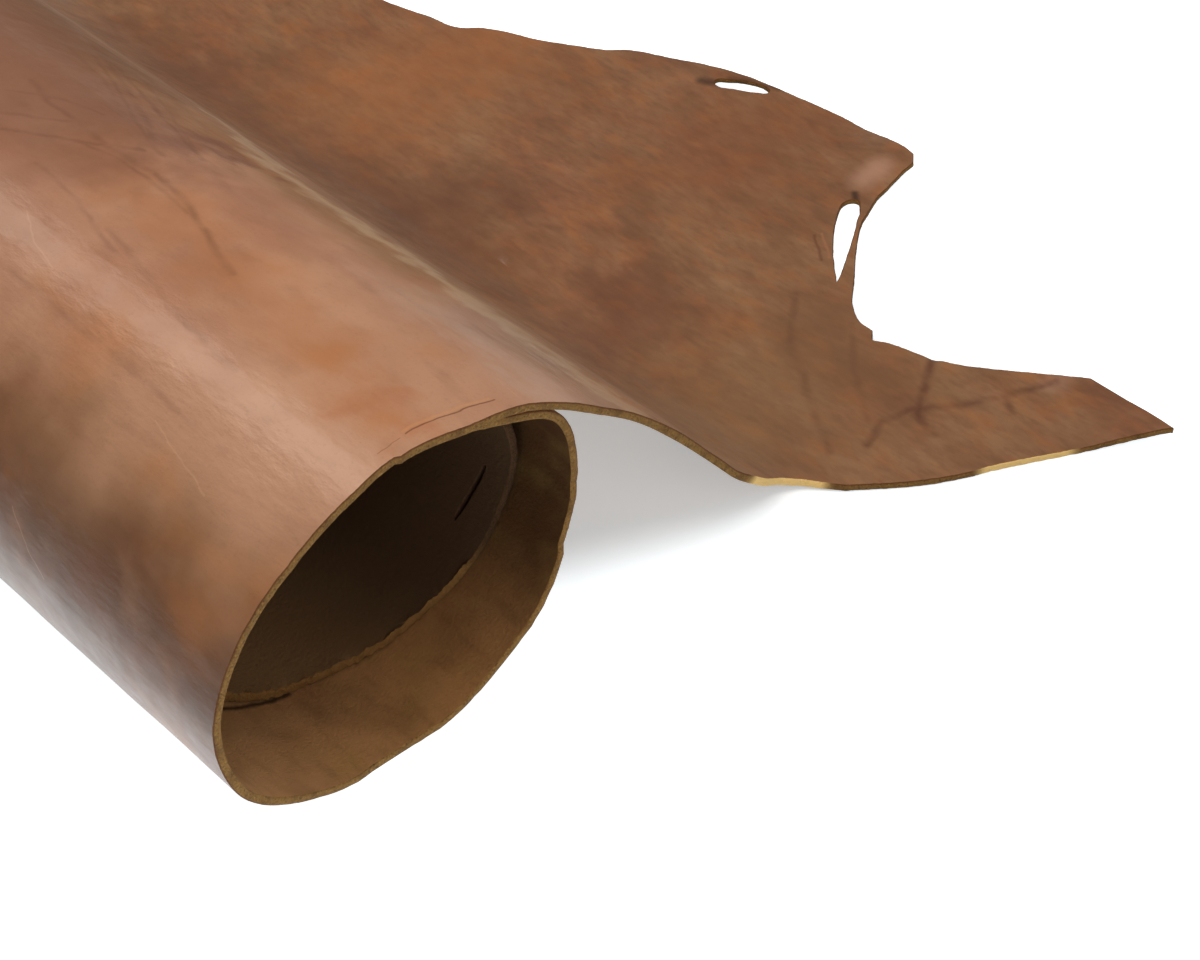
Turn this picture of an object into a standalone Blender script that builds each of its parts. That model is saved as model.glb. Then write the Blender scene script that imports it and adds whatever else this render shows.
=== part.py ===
"""A leather side: half a cowhide, loosely rolled grain side out, with its outer end lying open.

The side is cut flat and then rolled, as a tannery does it.  Flat, `along` runs from the rolled
end (negative) to the open end, and `across` runs from the straight backbone edge at 0 towards
the belly edge.  Rolled, `across` is +Y, and the open end lies on the floor towards +X, where
`along` equals the distance from the roll's axis.  The grain is the upper, outer face.
"""

import math
from bisect import bisect_right
from collections import namedtuple

import bmesh
import bpy
from mathutils import Vector

MM = 0.001

# Sizes in millimetres and degrees.
THICKNESS = 4.5           # heavy vegetable-tanned leather
TIP_THICKNESS = 3.0       # the open end is skived by nature: the hide thins towards its rim
THINNING_STARTS = 300.0   # along
HIDE_MIDDLE = 430.0       # across: half of the backbone-to-belly width, where the origin is
AXIS_HEIGHT = 92.6        # of the roll's axis above the floor
FOOT = 288.0              # along: where the open end meets the floor

COLUMN_STEP = 12.0        # length of a facet around the roll
ROW_STEP = 90.0           # length of a facet across the hide
FLAP_STEP = 45.0          # finer rows and columns where the open end lies uneven
CURVE_STEPS = 24          # straight pieces between two stations of the section
HEADING_REACH = 2         # pieces of the section to each side that give its direction
SAME_PLACE = 0.001        # points this close are one point
SHORTEST_SIDE = 0.05      # of a facet: shorter sides left by the cutting are closed up
SHARP_CORNER = 40.0       # degrees between faces that meet at a hard edge
LEATHER_BROWN = (0.262, 0.107, 0.055, 1)
LEATHER_ROUGHNESS = 0.5
LEATHER_METALLIC = 0.0

# Section of the roll: distance from its axis to the middle of the leather, for the three turns.
Bearing = namedtuple("Bearing", "degrees first second third")
WINDING = (
    Bearing(60, 95.7, 89.5, 83.6),
    Bearing(90, 88.5, 82.7, 76.9),
    Bearing(120, 86.3, 80.5, 74.7),
    Bearing(150, 95.0, 89.3, 83.6),
    Bearing(180, 106.5, 100.8, 95.1),
    Bearing(210, 109.0, 103.3, 97.6),
    Bearing(240, 99.4, 93.6, 87.9),
    Bearing(270, 92.0, 84.7, None),
    Bearing(300, 94.6, 89.0, None),
    Bearing(330, 100.2, 94.5, None),
    Bearing(360, 107.6, 99.4, None),
    Bearing(390, 113.6, 99.3, None),
)

# Section of the fall from the crest of the roll to the floor: middle of the leather.
Station = namedtuple("Station", "out height")
FALL = (
    Station(266.0, 6.0),
    Station(246.0, 17.5),
    Station(224.0, 36.5),
    Station(205.0, 59.0),
    Station(178.0, 90.5),
    Station(150.0, 119.5),
    Station(123.0, 140.5),
    Station(98.0, 158.0),
    Station(73.5, 170.3),
)

# Outline of the flat side, anticlockwise seen from the grain side.
Corner = namedtuple("Corner", "along across shape")
OUTLINE = (
    # backbone edge, from the inner end of the roll to the open end
    Corner(-1482, 96, "sharp"),
    Corner(-1375, 82, "round"),
    Corner(-1240, 46, "round"),
    Corner(-1180, 32, "round"),
    Corner(-1113, 38, "round"),
    Corner(-1034, 51, "round"),
    Corner(-957, 65, "round"),
    Corner(-895, 85, "round"),
    Corner(-775, 52, "round"),
    Corner(-640, 6, "round"),
    Corner(-545, 0, "round"),
    Corner(0, 0, "round"),
    Corner(150, 0, "round"),
    Corner(240, 1, "round"),
    Corner(262, 2, "round"),
    Corner(288, -21, "round"),
    Corner(322, -46, "round"),
    Corner(371, -71, "round"),
    Corner(412, -93, "round"),
    Corner(447, -114, "sharp"),
    # rim of the open end
    Corner(453, -52, "sharp"),
    Corner(434, -27, "round"),
    Corner(403, 16, "round"),
    Corner(393, 48, "round"),
    Corner(389, 54, "sharp"),
    Corner(396, 60, "sharp"),
    Corner(398, 74, "round"),
    Corner(431, 106, "round"),
    Corner(488, 143, "round"),
    Corner(510, 145, "round"),
    Corner(527, 146, "sharp"),
    Corner(534, 152, "sharp"),
    Corner(539, 178, "round"),
    Corner(545, 218, "round"),
    Corner(537, 264, "round"),
    Corner(524, 306, "round"),
    Corner(513, 340, "round"),
    Corner(503, 366, "round"),
    Corner(487, 384, "round"),
    Corner(466, 416, "round"),
    Corner(448, 455, "round"),
    Corner(436, 467, "round"),
    Corner(431, 491, "round"),
    Corner(412, 572, "round"),
    Corner(420, 640, "round"),
    Corner(372, 742, "round"),
    Corner(290, 800, "sharp"),
    Corner(236, 858, "round"),
    # belly edge, back to the inner end of the roll
    Corner(120, 902, "round"),
    Corner(-70, 915, "round"),
    Corner(-290, 948, "round"),
    Corner(-510, 936, "round"),
    Corner(-720, 892, "round"),
    Corner(-930, 905, "round"),
    Corner(-1160, 880, "round"),
    Corner(-1370, 846, "round"),
    Corner(-1462, 800, "round"),
    Corner(-1490, 560, "round"),
    Corner(-1472, 300, "round"),
)
STEPS_PER_CORNER = 4

# Holes through the leather: two from the toggles that held it on the drying frame, and a knife cut.
# `pointed` lists which of the points are sharp corners.
Hole = namedtuple("Hole", "name pointed points")
HOLES = (
    Hole("rim toggle hole", (), (
        (508, 297), (514, 284), (522, 273), (528, 269), (530, 273), (525, 285), (517, 295), (511, 300),
    )),
    Hole("notch toggle hole", (0,), (
        (414, 106), (430, 114), (448, 125), (466, 137), (479, 146),
        (483, 152), (478, 156), (464, 150), (446, 137), (428, 120),
    )),
    Hole("knife cut", (0, 4), (
        (-1126, 53), (-1115, 54.5), (-1104, 57.5), (-1093, 61), (-1082, 65),
        (-1093, 63.2), (-1104, 60), (-1115, 57),
    )),
)
STEPS_PER_HOLE_POINT = 2

# Places where the open end rises from the floor, by how much and how far around.
Rise = namedtuple("Rise", "name along across height reach")
RISES = (
    Rise("tip", 447, -114, 5.0, 60),
    Rise("point beside the notch", 540, 150, 12.0, 60),
    Rise("rim by the toggle hole", 530, 300, 5.0, 70),
    Rise("swell behind the notch", 340, 250, 5.0, 110),
    Rise("belly rim", 400, 620, 9.0, 120),
)


def from_axis(degrees, radius):
    """Point of the section, as (x, z), at a bearing and a distance from the roll's axis."""
    bearing = math.radians(degrees)
    return Vector((radius * math.cos(bearing), AXIS_HEIGHT + radius * math.sin(bearing)))


def section_stations():
    """Stations of the leather's middle, from the foot over the crest and inwards."""
    stations = [Vector((FOOT, THICKNESS / 2))]
    stations += [Vector((row.out, row.height)) for row in FALL]
    for turn in ("first", "second", "third"):
        for row in WINDING:
            radius = getattr(row, turn)
            if radius is not None:
                stations.append(from_axis(row.degrees, radius))
    return stations


def smooth_line(stations):
    """Catmull-Rom line through the stations, flat where the roll's weight presses it down."""
    flat_start = stations[0] + Vector((COLUMN_STEP, 0))
    run_out = 2 * stations[-1] - stations[-2]
    ends = [flat_start] + stations + [run_out]
    line = []
    for before, start, end, after in zip(ends, ends[1:], ends[2:], ends[3:]):
        for step in range(CURVE_STEPS):
            t = step / CURVE_STEPS
            point = 0.5 * (
                2 * start
                + (end - before) * t
                + (2 * before - 5 * start + 4 * end - after) * t ** 2
                + (3 * start - before - 3 * end + after) * t ** 3
            )
            line.append(Vector((point.x, max(point.y, THICKNESS / 2))))
    line.append(stations[-1])
    return line


LINE = smooth_line(section_stations())
RUN = [0.0]
for near, far in zip(LINE, LINE[1:]):
    RUN.append(RUN[-1] + (far - near).length)


def section_at(along):
    """Middle of the leather and its outward grain direction, both as (x, z)."""
    if along >= FOOT:
        return Vector((along, THICKNESS / 2)), Vector((0, 1))
    run = min(FOOT - along, RUN[-1] - SAME_PLACE)
    index = bisect_right(RUN, run) - 1
    heading = (LINE[index + 1] - LINE[index]).normalized()
    point = LINE[index] + heading * (run - RUN[index])
    ahead = LINE[min(index + HEADING_REACH, len(LINE) - 1)] - LINE[max(index + 1 - HEADING_REACH, 0)]
    ahead.normalize()
    return point, Vector((ahead.y, -ahead.x))


def thickness_at(along):
    """Full thickness of the leather, which thins over the open end."""
    far_rim = max(corner.along for corner in OUTLINE)
    share = min(max((along - THINNING_STARTS) / (far_rim - THINNING_STARTS), 0), 1)
    return THICKNESS + (TIP_THICKNESS - THICKNESS) * share


def rise_at(along, across):
    """Height of the open end above the floor."""
    height = 0.0
    for rise in RISES:
        distance = math.hypot(along - rise.along, across - rise.across) / rise.reach
        if distance < 1:
            height += rise.height * (1 - distance ** 2) ** 2
    return height


def roll_up(flat):
    """Where a point of the flat side, in millimetres with its middle at height 0, goes."""
    along, across, level = flat
    level *= thickness_at(along) / THICKNESS
    if along >= FOOT:
        height = level + thickness_at(along) / 2 + rise_at(along, across)
        return Vector((along, across - HIDE_MIDDLE, height))
    point, grain = section_at(along)
    point += grain * level
    return Vector((point.x, across - HIDE_MIDDLE, max(point.y, 0)))


def new_object(name, data, collection):
    item = bpy.data.objects.new(name, data)
    collection.objects.link(item)
    return item


def add_ring(curve, points, shapes):
    """Closed outline in a flat curve; a round corner is smooth and a sharp one is not."""
    spline = curve.splines.new("BEZIER")
    spline.bezier_points.add(len(points) - 1)
    spline.use_cyclic_u = True
    for bezier, point, shape in zip(spline.bezier_points, points, shapes):
        bezier.co = (point[0], point[1], 0)
        handle = "AUTO" if shape == "round" else "VECTOR"
        bezier.handle_left_type = handle
        bezier.handle_right_type = handle


def hole_shapes(hole):
    return ["sharp" if index in hole.pointed else "round" for index in range(len(hole.points))]


def make_die(name, rings, steps, collection):
    """Prism with the given outlines, taller than the leather is thick."""
    curve = bpy.data.curves.new(name, "CURVE")
    curve.dimensions = "2D"
    curve.fill_mode = "BOTH"
    curve.extrude = THICKNESS
    curve.resolution_u = steps
    for points, shapes in rings:
        add_ring(curve, points, shapes)
    die = new_object(name, curve, collection)
    bpy.context.view_layer.update()
    graph = bpy.context.evaluated_depsgraph_get()
    mesh = bpy.data.meshes.new_from_object(die.evaluated_get(graph))
    bpy.data.objects.remove(die)
    weld(mesh)
    return new_object(name, mesh, collection)


def weld(mesh):
    """Join a curve's caps to its walls and point every face outwards."""
    shape = bmesh.new()
    shape.from_mesh(mesh)
    bmesh.ops.remove_doubles(shape, verts=shape.verts, dist=SAME_PLACE)
    bmesh.ops.recalc_face_normals(shape, faces=shape.faces)
    shape.to_mesh(mesh)
    shape.free()


def make_flat_slab(collection):
    """Flat leather larger than the side, with a grid of edges for it to bend along."""
    low_along = min(corner.along for corner in OUTLINE) - COLUMN_STEP
    high_along = max(corner.along for corner in OUTLINE) + COLUMN_STEP
    low_across = min(corner.across for corner in OUTLINE) - ROW_STEP
    high_across = max(corner.across for corner in OUTLINE) + ROW_STEP
    columns = math.ceil((high_along - low_along) / COLUMN_STEP)
    rows = math.ceil((high_across - low_across) / ROW_STEP)
    shape = bmesh.new()
    bmesh.ops.create_grid(shape, x_segments=columns, y_segments=rows, size=0.5)
    size = Vector((high_along - low_along, high_across - low_across, 1))
    middle = Vector((high_along + low_along, high_across + low_across, 0)) / 2
    bmesh.ops.scale(shape, vec=size, verts=shape.verts)
    bmesh.ops.translate(shape, vec=middle - Vector((0, 0, THICKNESS / 2)), verts=shape.verts)
    across = low_across + ROW_STEP / 2
    while across < high_across:
        flap = [face for face in shape.faces if face.calc_center_median().x > FOOT]
        edges = {edge for face in flap for edge in face.edges}
        verts = {vert for face in flap for vert in face.verts}
        bmesh.ops.bisect_plane(
            shape, geom=[*verts, *edges, *flap], dist=SAME_PLACE,
            plane_co=(0, across, 0), plane_no=(0, 1, 0),
        )
        across += FLAP_STEP
    top = bmesh.ops.extrude_face_region(shape, geom=shape.faces[:])["geom"]
    raised = [item for item in top if isinstance(item, bmesh.types.BMVert)]
    bmesh.ops.translate(shape, vec=(0, 0, THICKNESS), verts=raised)
    bmesh.ops.recalc_face_normals(shape, faces=shape.faces)
    mesh = bpy.data.meshes.new("leather_side")
    shape.to_mesh(mesh)
    shape.free()
    return new_object("leather_side", mesh, collection)


def cut_with(item, cutter, operation):
    """Cut the flat leather with a die or a punch."""
    cutter.hide_render = True
    cutter.display_type = "WIRE"
    boolean = item.modifiers.new(cutter.name, "BOOLEAN")
    boolean.operation = operation
    boolean.solver = "EXACT"
    boolean.object = cutter


def make_leather():
    """Principled material of the leather."""
    leather = bpy.data.materials.new("vegetable_tanned_leather")
    leather.use_nodes = True
    shader = leather.node_tree.nodes["Principled BSDF"]
    shader.inputs["Base Color"].default_value = LEATHER_BROWN
    shader.inputs["Roughness"].default_value = LEATHER_ROUGHNESS
    shader.inputs["Metallic"].default_value = LEATHER_METALLIC
    return leather


def make_side(parts, cutters):
    """Cut the side flat, then roll it up."""
    side = make_flat_slab(parts)
    outline = [(OUTLINE, [corner.shape for corner in OUTLINE])]
    holes = [(hole.points, hole_shapes(hole)) for hole in HOLES]
    cut_with(side, make_die("cutting_die", outline, STEPS_PER_CORNER, cutters), "INTERSECT")
    cut_with(side, make_die("hole_punches", holes, STEPS_PER_HOLE_POINT, cutters), "DIFFERENCE")
    bpy.context.view_layer.update()
    graph = bpy.context.evaluated_depsgraph_get()
    shape = bmesh.new()
    shape.from_object(side, graph)
    side.modifiers.clear()
    bmesh.ops.remove_doubles(shape, verts=shape.verts, dist=SHORTEST_SIDE)
    bmesh.ops.triangulate(shape, faces=shape.faces)
    for vert in shape.verts:
        vert.co = roll_up(vert.co) * MM
    shape.to_mesh(side.data)
    shape.free()
    side.data.materials.clear()
    side.data.materials.append(make_leather())
    side.data.shade_smooth()
    side.data.set_sharp_from_angle(angle=math.radians(SHARP_CORNER))
    return side


def main():
    for item in list(bpy.data.objects):
        bpy.data.objects.remove(item)
    parts = bpy.data.collections.new("leather_side")
    cutters = bpy.data.collections.new("cutters")
    for collection in (parts, cutters):
        bpy.context.scene.collection.children.link(collection)
    make_side(parts, cutters)


main()
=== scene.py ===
"""Looks of a leather side: half a cowhide, cut flat and loosely rolled, with one end lying open."""

import math
from bisect import bisect_right
from collections import namedtuple

import bmesh
import bpy
from bpy.props import FloatProperty, FloatVectorProperty, PointerProperty
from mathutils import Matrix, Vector, noise


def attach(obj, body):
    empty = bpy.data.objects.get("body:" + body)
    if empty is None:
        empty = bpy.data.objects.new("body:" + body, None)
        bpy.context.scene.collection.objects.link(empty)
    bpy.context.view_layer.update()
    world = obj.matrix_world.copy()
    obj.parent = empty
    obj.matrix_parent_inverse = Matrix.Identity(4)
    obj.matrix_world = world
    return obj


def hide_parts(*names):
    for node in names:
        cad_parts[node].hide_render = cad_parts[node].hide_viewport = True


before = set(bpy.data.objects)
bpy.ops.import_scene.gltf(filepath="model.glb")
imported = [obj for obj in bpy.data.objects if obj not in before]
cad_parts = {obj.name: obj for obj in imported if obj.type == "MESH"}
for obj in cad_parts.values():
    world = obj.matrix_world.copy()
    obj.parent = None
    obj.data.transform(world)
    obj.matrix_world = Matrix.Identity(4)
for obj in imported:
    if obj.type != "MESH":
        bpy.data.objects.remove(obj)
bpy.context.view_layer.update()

bl_info = {
    "name": "Leather Side",
    "version": (1, 0, 0),
    "blender": (4, 5, 0),
    "location": "3D View > Sidebar > Leather",
    "description": "Cuts a vegetable-tanned leather side flat, rolls it up and finishes it",
    "category": "Object",
}

MM = 0.001
NODE = "leather_side"
PLACE = "flat_place"  # attribute: along, across and level of each point before rolling, in metres

# Driving sizes, in millimetres.  Flat, `along` runs from the rolled end (negative) to the open
# end, and `across` from the straight backbone edge at 0 to the belly edge.
THICKNESS = 4.5
TIP_THICKNESS = 3.0
THINNING_STARTS = 300.0
HIDE_MIDDLE = 430.0
AXIS_HEIGHT = 92.6
FOOT = 288.0
OUTER_TURN_STARTS = -560.0
FRAYED = (-1072.0, -880.0)  # stretch along of the backbone edge where its fibres are loose
CURVE_STEPS = 24
RUN_IN = 12.0  # flat stretch ahead of the foot that sets the curve's heading there

# Section of the roll: distance from its axis to the middle of the leather, for the three turns.
Bearing = namedtuple("Bearing", "degrees first second third")
WINDING = (
    Bearing(60, 95.7, 89.5, 83.6),
    Bearing(90, 88.5, 82.7, 76.9),
    Bearing(120, 86.3, 80.5, 74.7),
    Bearing(150, 95.0, 89.3, 83.6),
    Bearing(180, 106.5, 100.8, 95.1),
    Bearing(210, 109.0, 103.3, 97.6),
    Bearing(240, 99.4, 93.6, 87.9),
    Bearing(270, 92.0, 84.7, None),
    Bearing(300, 94.6, 89.0, None),
    Bearing(330, 100.2, 94.5, None),
    Bearing(360, 107.6, 99.4, None),
    Bearing(390, 113.6, 99.3, None),
)

# Section of the fall from the crest of the roll to the floor: middle of the leather.
Station = namedtuple("Station", "out height")
FALL = (
    Station(266.0, 6.0),
    Station(246.0, 17.5),
    Station(224.0, 36.5),
    Station(205.0, 59.0),
    Station(178.0, 90.5),
    Station(150.0, 119.5),
    Station(123.0, 140.5),
    Station(98.0, 158.0),
    Station(73.5, 170.3),
)

# Outline of the flat side, anticlockwise seen from the grain side.
Corner = namedtuple("Corner", "along across shape")
OUTLINE = (
    # backbone edge, from the inner end of the roll to the open end
    Corner(-1482, 96, "sharp"),
    Corner(-1375, 82, "round"),
    Corner(-1240, 46, "round"),
    Corner(-1180, 32, "round"),
    Corner(-1113, 38, "round"),
    Corner(-1034, 51, "round"),
    Corner(-957, 65, "round"),
    Corner(-895, 85, "round"),
    Corner(-775, 52, "round"),
    Corner(-640, 6, "round"),
    Corner(-545, 1, "round"),
    Corner(-503, 2, "sharp"),
    Corner(-498, 0, "sharp"),
    Corner(-300, 0, "round"),
    Corner(-100, 0.3, "round"),
    Corner(-63, 1.4, "sharp"),
    Corner(-60, -0.3, "sharp"),
    Corner(0, 0, "round"),
    Corner(150, 0, "round"),
    Corner(240, 1, "round"),
    Corner(262, 2, "round"),
    Corner(288, -21, "round"),
    Corner(322, -46, "round"),
    Corner(371, -71, "round"),
    Corner(412, -93, "round"),
    Corner(447, -114, "sharp"),
    # rim of the open end
    Corner(453, -52, "sharp"),
    Corner(434, -27, "round"),
    Corner(403, 16, "round"),
    Corner(393, 48, "round"),
    Corner(389, 54, "sharp"),
    Corner(396, 60, "sharp"),
    Corner(398, 74, "round"),
    Corner(431, 106, "round"),
    Corner(488, 143, "round"),
    Corner(510, 145, "round"),
    Corner(527, 146, "sharp"),
    Corner(534, 152, "sharp"),
    Corner(539, 178, "round"),
    Corner(545, 218, "round"),
    Corner(537, 264, "round"),
    Corner(524, 306, "round"),
    Corner(513, 340, "round"),
    Corner(503, 366, "round"),
    Corner(487, 384, "round"),
    Corner(466, 416, "round"),
    Corner(448, 455, "round"),
    Corner(436, 467, "round"),
    Corner(431, 491, "round"),
    Corner(412, 572, "round"),
    Corner(420, 640, "round"),
    Corner(372, 742, "round"),
    Corner(290, 800, "sharp"),
    Corner(236, 858, "round"),
    # belly edge, back to the inner end of the roll
    Corner(120, 902, "round"),
    Corner(-70, 915, "round"),
    Corner(-290, 948, "round"),
    Corner(-510, 936, "round"),
    Corner(-720, 892, "round"),
    Corner(-930, 905, "round"),
    Corner(-1160, 880, "round"),
    Corner(-1370, 846, "round"),
    Corner(-1462, 800, "round"),
    Corner(-1490, 560, "round"),
    Corner(-1472, 300, "round"),
)

# Holes through the leather: two from the toggles that held it on the drying frame, and a knife cut.
# `pointed` lists which of the points are sharp corners.
Hole = namedtuple("Hole", "name pointed points")
HOLES = (
    Hole("rim toggle hole", (), (
        (508, 297), (514, 284), (522, 273), (528, 269), (530, 273), (525, 285), (517, 295), (511, 300),
    )),
    Hole("notch toggle hole", (0,), (
        (414, 106), (430, 114), (448, 125), (466, 137), (479, 146),
        (483, 152), (478, 156), (464, 150), (446, 137), (428, 120),
    )),
    Hole("knife cut", (0, 4), (
        (-1126, 53), (-1115, 54.5), (-1104, 57.5), (-1093, 61), (-1082, 65),
        (-1093, 63.2), (-1104, 60), (-1115, 57),
    )),
)

# Places where the open end rises from the floor, by how much and how far around.
Rise = namedtuple("Rise", "name along across height reach")
RISES = (
    Rise("tip", 447, -114, 5.0, 60),
    Rise("point beside the notch", 540, 150, 12.0, 60),
    Rise("rim by the toggle hole", 530, 300, 5.0, 70),
    Rise("swell behind the notch", 340, 250, 5.0, 110),
    Rise("belly rim", 400, 620, 9.0, 120),
)

# Growth wrinkles and veins of the hide, as soft troughs in the grain: half width and depth.
Crease = namedtuple("Crease", "name width depth points")
CREASES = (
    Crease("neck wrinkle", 3.5, 0.5, ((14, 284), (42, 337), (67, 387), (80, 412), (96, 455))),
    Crease("neck wrinkle 2", 3.5, 0.5, ((30, 264), (42, 297), (53, 333), (92, 431))),
    Crease("neck wrinkle 3", 3.0, 0.2, ((66, 298), (82, 328), (104, 394))),
    Crease("neck wrinkle 4", 2.2, 0.45, ((8, 270), (23, 315), (48, 366), (74, 418))),
    Crease("neck wrinkle 5", 1.8, 0.40, ((14, 283), (40, 332), (63, 378))),
    Crease("neck wrinkle 6", 1.8, 0.35, ((32, 269), (60, 326), (91, 392))),
    Crease("neck wrinkle 7", 2.0, 0.30, ((24, 330), (44, 372), (62, 430))),
    Crease("fan wrinkle", 2.2, 0.50, ((-48, 339), (-21, 304), (3, 278))),
    Crease("fan wrinkle 2", 2.0, 0.40, ((-40, 354), (-18, 330), (-3, 313))),
    Crease("fan wrinkle 3", 1.8, 0.35, ((-20, 370), (0, 345), (8, 320))),
    Crease("long vein", 3.0, 0.55, ((-33, 158), (-18, 197), (-8, 232), (-6, 258), (-10, 292))),
    Crease("vein branch", 2.0, 0.40, ((-15, 216), (-13, 245), (-12, 273), (-18, 300))),
    Crease("short vein", 2.6, 0.45, ((-10, 292), (-9, 312), (-8, 340), (-3, 372))),
    Crease("flank wrinkle", 2.2, 0.40, ((-64, 209), (-54, 250), (-49, 295))),
    Crease("flank line", 2.5, 0.35, ((-75, 98), (-70, 150), (-55, 225))),
    Crease("flank line 2", 2.5, 0.3, ((-106, 90), (-103, 160), (-104, 250))),
    Crease("tip vein", 4.0, 1.2, ((352, -24), (359, -6), (376, 4), (401, 19))),
    Crease("tip vein 2", 4.0, 1.0, ((357, 0), (379, -16), (405, -29), (436, -41))),
    Crease("tip vein 3", 3.5, 1.0, ((318, -4), (337, 2), (357, 0))),
    Crease("tip vein 4", 3.0, 0.8, ((405, -29), (398, -42))),
    Crease("notch vein", 3.5, 0.55, ((300, 5), (326, 44), (352, 83), (389, 116))),
    Crease("notch vein 2", 3.0, 0.45, ((334, 8), (362, 44), (392, 72))),
    Crease("flap vein", 4.0, 0.4, ((326, 250), (306, 298), (292, 345), (289, 400))),
    Crease("rim vein", 3.0, 0.4, ((509, 172), (519, 202), (524, 236))),
)


def from_axis(degrees, radius):
    """Point of the section, as (x, z), at a bearing and a distance from the roll's axis."""
    bearing = math.radians(degrees)
    return Vector((radius * math.cos(bearing), AXIS_HEIGHT + radius * math.sin(bearing)))


def section_stations():
    """Stations of the leather's middle, from the foot over the crest and inwards."""
    stations = [Vector((FOOT, THICKNESS / 2))]
    stations += [Vector((row.out, row.height)) for row in FALL]
    for turn in ("first", "second", "third"):
        for row in WINDING:
            radius = getattr(row, turn)
            if radius is not None:
                stations.append(from_axis(row.degrees, radius))
    return stations


def smooth_line(stations):
    """Catmull-Rom line through the stations, flat where the roll's weight presses it down."""
    flat_start = stations[0] + Vector((RUN_IN, 0))
    run_out = 2 * stations[-1] - stations[-2]
    ends = [flat_start] + stations + [run_out]
    line = []
    for before, start, end, after in zip(ends, ends[1:], ends[2:], ends[3:]):
        for step in range(CURVE_STEPS):
            t = step / CURVE_STEPS
            point = 0.5 * (
                2 * start
                + (end - before) * t
                + (2 * before - 5 * start + 4 * end - after) * t ** 2
                + (3 * start - before - 3 * end + after) * t ** 3
            )
            line.append(Vector((point.x, max(point.y, THICKNESS / 2))))
    line.append(stations[-1])
    return line


LINE = smooth_line(section_stations())
RUN = [0.0]
for near, far in zip(LINE, LINE[1:]):
    RUN.append(RUN[-1] + (far - near).length)


def section_at(along):
    """Middle of the leather and its outward grain direction, both as (x, z)."""
    if along >= FOOT:
        return Vector((along, THICKNESS / 2)), Vector((0, 1))
    run = min(FOOT - along, RUN[-1] - 1e-6)
    index = bisect_right(RUN, run) - 1
    heading = (LINE[index + 1] - LINE[index]).normalized()
    point = LINE[index] + heading * (run - RUN[index])
    ahead = LINE[min(index + 4, len(LINE) - 1)] - LINE[max(index - 3, 0)]
    ahead.normalize()
    return point, Vector((ahead.y, -ahead.x))


def thickness_at(along):
    """Full thickness of the leather, which thins over the open end."""
    far_rim = max(corner.along for corner in OUTLINE)
    share = min(max((along - THINNING_STARTS) / (far_rim - THINNING_STARTS), 0), 1)
    return THICKNESS + (TIP_THICKNESS - THICKNESS) * share


def rise_at(along, across):
    """Height of the open end above the floor."""
    height = 0.0
    for rise in RISES:
        distance = math.hypot(along - rise.along, across - rise.across) / rise.reach
        if distance < 1:
            height += rise.height * (1 - distance ** 2) ** 2
    return height


def crease_depth(along, across, settings):
    """Depth of the growth wrinkles at a point of the grain."""
    spot = Vector((along, across))
    depth = 0.0
    for crease in CREASES:
        reach = crease.width * 1.5
        for near, far in zip(crease.points, crease.points[1:]):
            near, far = Vector(near), Vector(far)
            if not min(near.x, far.x) - reach < along < max(near.x, far.x) + reach:
                continue
            span = far - near
            share = min(max((spot - near).dot(span) / span.length_squared, 0), 1)
            distance = (spot - near - span * share).length / reach
            if distance < 1:
                depth = max(depth, crease.depth * (1 - distance ** 2) ** 2)
    return depth * settings.crease_depth


# Soft unevenness of the grain: height and period along the hide, and longer across it.
Swell = namedtuple("Swell", "height period")
SWELLS = (Swell(0.35, 26), Swell(0.8, 70))
SWELL_STRETCH = 1.6


def swell_at(along, across):
    """Height of the grain's soft unevenness at a point."""
    height = 0.0
    for wave in SWELLS:
        spot = Vector((along / wave.period, across / (SWELL_STRETCH * wave.period), wave.height))
        height += wave.height * noise.noise(spot)
    return height


def roll_up(flat, settings):
    """Where a point of the flat side, in millimetres with its middle at height 0, goes."""
    along, across, level = flat
    on_grain = level > 0
    level *= thickness_at(along) / THICKNESS
    if on_grain and along > OUTER_TURN_STARTS:
        level += swell_at(along, across) - crease_depth(along, across, settings)
    if along >= FOOT:
        height = level + thickness_at(along) / 2 + rise_at(along, across)
        return Vector((along, across - HIDE_MIDDLE, max(height, 0)))
    point, grain = section_at(along)
    point += grain * level
    return Vector((point.x, across - HIDE_MIDDLE, max(point.y, 0)))


def add_ring(curve, points, shapes):
    """Closed outline in a flat curve; a round corner is smooth and a sharp one is not."""
    spline = curve.splines.new("BEZIER")
    spline.bezier_points.add(len(points) - 1)
    spline.use_cyclic_u = True
    for bezier, point, shape in zip(spline.bezier_points, points, shapes):
        bezier.co = (point[0], point[1], 0)
        handle = "AUTO" if shape == "round" else "VECTOR"
        bezier.handle_left_type = handle
        bezier.handle_right_type = handle


WANDER_PERIOD = 38
NICK_PERIOD = 7
NICK_SHARE = 0.35


def ragged(spot, amount):
    """Sideways wander of a knife through tough leather, and small nicks."""
    wander = noise.noise_vector(Vector((spot.x, spot.y, 0)) / WANDER_PERIOD) * amount
    nick = noise.noise_vector(Vector((spot.x, spot.y, 50)) / NICK_PERIOD) * amount * NICK_SHARE
    return Vector((wander.x + nick.x, wander.y + nick.y, 0))


def hole_shapes(hole):
    return ["sharp" if index in hole.pointed else "round" for index in range(len(hole.points))]


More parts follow.
